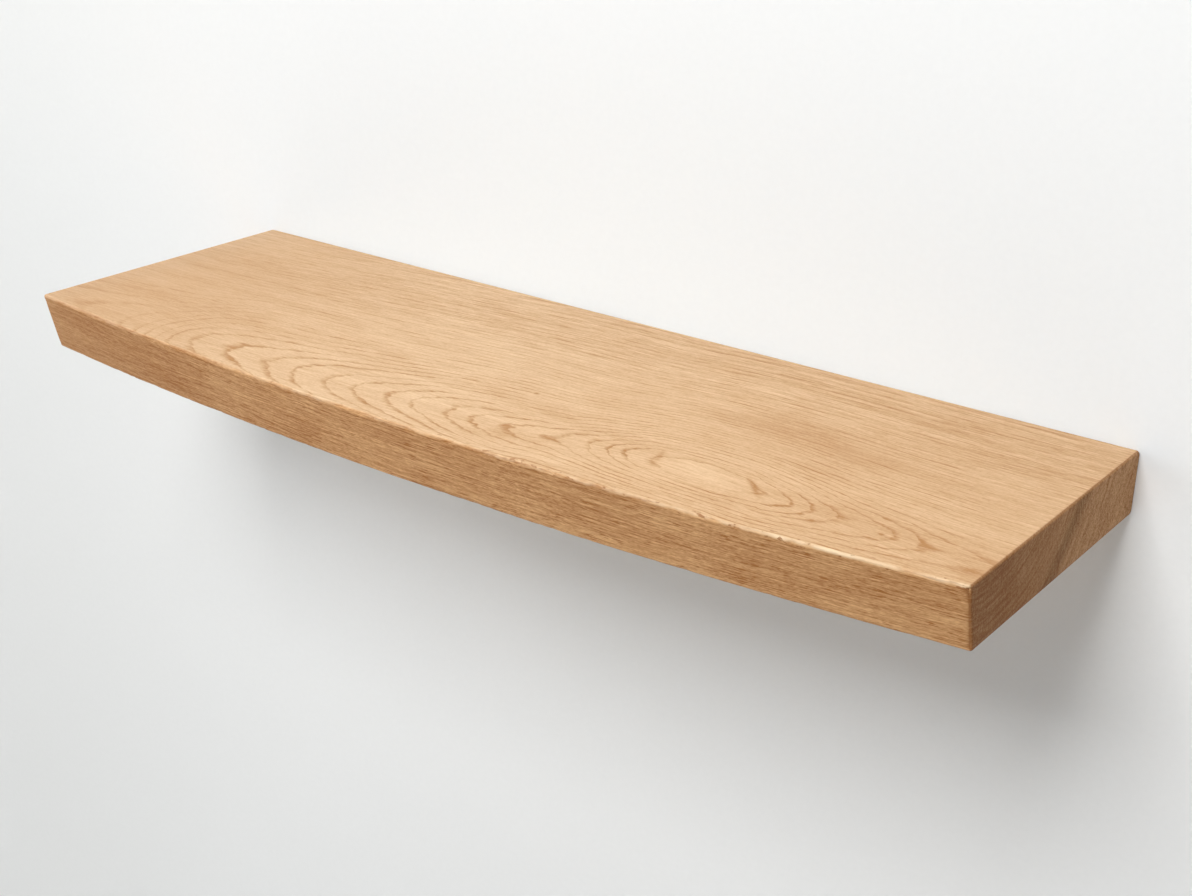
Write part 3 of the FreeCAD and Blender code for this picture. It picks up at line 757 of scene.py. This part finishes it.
def drawn_steel():
    """Bright drawn bar: long faint scratches along the rod, and a light film of oil."""
    f = Finish("drawn_steel")
    scratches = f.noise((0.5, 40, 0.5), 3, 0.6)
    film = f.noise(14, 2, seed=6)
    colour = f.mix(film.step(-0.8, 0.8), srgb(172, 172, 171), srgb(150, 150, 150))
    f.set(Base_Color=colour, Metallic=1.0, Roughness=scratches * 0.06 + film * 0.04 + 0.3)
    f.bump(scratches, 0.01)
    return f.material


def zinc():
    """Bright zinc plate with a faint blue and straw passivation."""
    f = Finish("zinc_plate")
    film = f.noise(3, 2, seed=8)
    colour = f.mix(film.step(-0.8, 0.8), srgb(212, 214, 218), srgb(208, 204, 190))
    f.set(Base_Color=colour, Metallic=1.0, Roughness=f.noise(0.8, 2, seed=2) * 0.05 + 0.27)
    f.bump(f.noise(0.5, 1, seed=12), 0.01)
    return f.material


def black_oxide():
    """Black oxide on steel: near black, with worn brown-grey edges of tone."""
    f = Finish("black_oxide")
    wear_tone = f.noise(1.6, 2, seed=14).step(0.2, 1.2)
    colour = f.mix(wear_tone, srgb(48, 48, 51), srgb(84, 80, 76))
    f.set(Base_Color=colour, Metallic=0.85, Roughness=f.noise(0.7, 2, seed=3) * 0.06 + 0.38)
    f.bump(f.noise(0.4, 1, seed=15), 0.01)
    return f.material


def moulded_nylon():
    """Moulded grey nylon, with a fine spark-eroded texture."""
    f = Finish("grey_nylon")
    texture = f.noise(0.4, 2, seed=19)
    tone = f.noise(6, 2, seed=20).step(-0.8, 0.8)
    colour = f.mix(tone, srgb(150, 152, 154), srgb(138, 140, 143))
    f.set(Base_Color=colour, Roughness=texture * 0.04 + 0.46)
    f.bump(texture, 0.02)
    return f.material


def turned_brass():
    """Turned brass: fine tool rings round the axis."""
    f = Finish("turned_brass")
    tool_marks = f.noise((4, 4, 0.15), 1, seed=21)
    tone = f.noise(2.5, 2, seed=22).step(-0.8, 0.8)
    colour = f.mix(tone, srgb(226, 196, 128), srgb(208, 174, 104))
    f.set(Base_Color=colour, Metallic=1.0, Roughness=tool_marks * 0.05 + 0.26)
    f.bump(tool_marks, 0.01)
    return f.material


# ------------------------------------------------------------------ stage, lights and camera

WALL_Y = -0.5 * MM  # a hair in front of the slab's back, so that its back edges meet the wall
FLOOR_Z = -1.4
FLOOR_COLOUR = srgb(236, 237, 238)
FLOOR_GLOW = 0.75


def sheet(name, corners):
    """A flat four-cornered piece of the stage."""
    mesh = bpy.data.meshes.new(name)
    mesh.from_pydata(corners, [], [(0, 1, 2, 3)])
    piece = link(name, mesh)
    piece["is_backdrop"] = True
    return piece


def paint(name, colour):
    """Matt paint with a faint mottle."""
    f = Finish(name)
    mottle = f.noise(5, 3, 0.6)
    darker = tuple(channel * 0.985 for channel in colour[:3]) + (1,)
    f.set(Base_Color=f.mix(mottle.step(-1, 1), colour, darker), Roughness=0.9, Specular_IOR_Level=0.05)
    f.bump(mottle, 0.03)
    return f


def seen_directly(f):
    """1 where the camera, a reflection or a view through glass meets the surface, else 0."""
    path = f.node("ShaderNodeLightPath")
    rays = [Signal(f, path.outputs[f"Is {kind} Ray"]) for kind in ("Camera", "Glossy", "Transmission")]
    return rays[0].math("MAXIMUM", rays[1].math("MAXIMUM", rays[2]))


def wall_paint():
    """White paint that is only there from its front, so that the wall hides nothing behind it.

    Just above the shelf it is a little cooler, against the warm light that the oak throws up at it,
    and towards the left it is a little darker, as in the photo.
    """
    f = paint("wall_paint", srgb(248, 249, 248))
    above = (f.z - HALF_THICKNESS / MM).math("MAXIMUM", 0)
    fade = 1 - above / above.hypot(END_DEPTH / MM)
    slab_end = HALF_LENGTH / MM
    beside = abs(f.x).step(slab_end - 40 - above, slab_end + 40 + above, 1, 0)
    near = fade * beside * f.z.step(0, 30)
    plain = f.surface.inputs["Base Color"].links[0].from_socket
    cooled = f.mix(near, plain, (0.895, 0.98, 1.06, 1), "MULTIPLY")
    # Painted shade: the wall is darker towards the left, standing in for lamp light falling off there.
    f.set(Base_Color=f.mix(f.x.step(-950, -300, 1, 0), cooled, (0.925, 0.925, 0.92, 1), "MULTIPLY"))
    either = f.node("ShaderNodeMixShader")
    f.put(either.inputs[0], f.node("ShaderNodeNewGeometry").outputs["Backfacing"])
    f.put(either.inputs[1], f.surface.outputs[0])
    f.put(either.inputs[2], f.node("ShaderNodeBsdfTransparent").outputs[0])
    f.put(f.output.inputs[0], either.outputs[0])
    return f.material


def floor_paint():
    """Pale paint that the camera and reflections see about as bright as the wall, shadows and all."""
    f = paint("floor_paint", FLOOR_COLOUR)
    glow = f.node("ShaderNodeEmission")
    glow.inputs["Color"].default_value = FLOOR_COLOUR
    seen = f.node("ShaderNodeMixShader")
    f.put(seen.inputs[0], seen_directly(f) * FLOOR_GLOW)
    f.put(seen.inputs[1], f.surface.outputs[0])
    f.put(seen.inputs[2], glow.outputs[0])
    f.put(f.output.inputs[0], seen.outputs[0])
    return f.material


def make_stage():
    """A pale wall behind the shelf and a pale floor well below it."""
    wall = sheet("wall", [(x, WALL_Y, z) for x, z in ((-3, FLOOR_Z), (3, FLOOR_Z), (3, 4), (-3, 4))])
    floor = sheet("floor", [(x, y, FLOOR_Z) for x, y in ((-7, -7), (7, -7), (7, 7), (-7, 7))])
    wall.data.materials.append(wall_paint())
    floor.data.materials.append(floor_paint())


LAMPS = (
    # name, place, what it points at, width and height in metres, power in watts
    ("key", (0.25, -1.9, 1.7), (0, 0, 0.1), 1.1, 1.1, 48.5),
    ("side", (-2.8, -0.8, 0.8), (0, 0, 0), 2.0, 2.0, 49.5),
    ("back", (0.6, 2.6, 1.6), (0, 0, 0), 2.0, 2.0, 40),
)
WORLD_LIGHT = 0.196


def make_lights():
    """Soft area lamps and an even pale world."""
    for name, place, target, width, height, power in LAMPS:
        data = bpy.data.lights.new(name, "AREA")
        data.shape = "RECTANGLE"
        data.size, data.size_y, data.energy = width, height, power
        lamp = bpy.data.objects.new(name, data)
        bpy.context.scene.collection.objects.link(lamp)
        aim = Vector(target) - Vector(place)
        lamp.matrix_world = Matrix.LocRotScale(Vector(place), aim.to_track_quat("-Z", "Y"), None)
    world = bpy.data.worlds.new("studio")
    world.use_nodes = True
    nodes, links = world.node_tree.nodes, world.node_tree.links
    nodes.clear()
    light = nodes.new("ShaderNodeBackground")
    light.inputs["Color"].default_value = srgb(244, 244, 244)
    light.inputs["Strength"].default_value = WORLD_LIGHT
    seen = nodes.new("ShaderNodeBackground")
    seen.inputs["Color"].default_value = srgb(246, 247, 248)
    path = nodes.new("ShaderNodeLightPath")
    first, direct = nodes.new("ShaderNodeMath"), nodes.new("ShaderNodeMath")
    first.operation = direct.operation = "MAXIMUM"
    links.new(path.outputs["Is Camera Ray"], first.inputs[0])
    links.new(path.outputs["Is Glossy Ray"], first.inputs[1])
    links.new(first.outputs[0], direct.inputs[0])
    links.new(path.outputs["Is Transmission Ray"], direct.inputs[1])
    either = nodes.new("ShaderNodeMixShader")
    output = nodes.new("ShaderNodeOutputWorld")
    links.new(direct.outputs[0], either.inputs[0])
    links.new(light.outputs[0], either.inputs[1])
    links.new(seen.outputs[0], either.inputs[2])
    links.new(either.outputs[0], output.inputs[0])
    bpy.context.scene.world = world


# The camera's place in metres, its turn in radians and its lens in mm, fitted to the slab's edges.
CAMERA_PLACE = (0.74917, -1.07201, 0.46518)
CAMERA_YAW, CAMERA_PITCH, CAMERA_ROLL = -0.63328, 0.39733, 0.02148
CAMERA_LENS = 54.016


def make_camera():
    """The camera at the photograph's viewing angle."""
    yaw, pitch, roll = CAMERA_YAW, CAMERA_PITCH, CAMERA_ROLL
    flat_share = math.cos(pitch)
    forward = Vector((math.sin(yaw) * flat_share, math.cos(yaw) * flat_share, -math.sin(pitch)))
    level = Vector((math.cos(yaw), -math.sin(yaw), 0))
    upright = level.cross(forward)
    right = math.cos(roll) * level + math.sin(roll) * upright
    up = math.cos(roll) * upright - math.sin(roll) * level
    data = bpy.data.cameras.new("camera")
    data.lens = CAMERA_LENS
    camera = bpy.data.objects.new("camera", data)
    bpy.context.scene.collection.objects.link(camera)
    turn = Matrix((right, up, -forward)).transposed()
    camera.matrix_world = Matrix.LocRotScale(Vector(CAMERA_PLACE), turn, None)
    bpy.context.scene.camera = camera


# ------------------------------------------------------------------ the scene

slab = make_slab()
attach(slab, "shelf")
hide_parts("shelf_slab")

finishes = {
    "oak": Oak().material,
    "bar_steel": powder_coat(),
    "rod_steel": drawn_steel(),
    "zinc_steel": zinc(),
    "black_steel": black_oxide(),
    "nylon": moulded_nylon(),
    "brass": turned_brass(),
}
slab.data.materials.clear()
slab.data.materials.append(finishes["oak"])
for part in frame["record"]["subparts"]:
    for material_slot in frame["nodes"][part["node"]].material_slots:
        material_slot.material = finishes[part["material_slot"]]

make_stage()
make_lights()
make_camera()
bpy.context.scene.view_settings.view_transform = "Standard"


def plain(bounds):
    """A box's two corners as plain lists of numbers."""
    return [[round(float(v), 6) for v in corner] for corner in bounds]


{"cad": plain(cad_bounds), "visual": plain(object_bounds())}
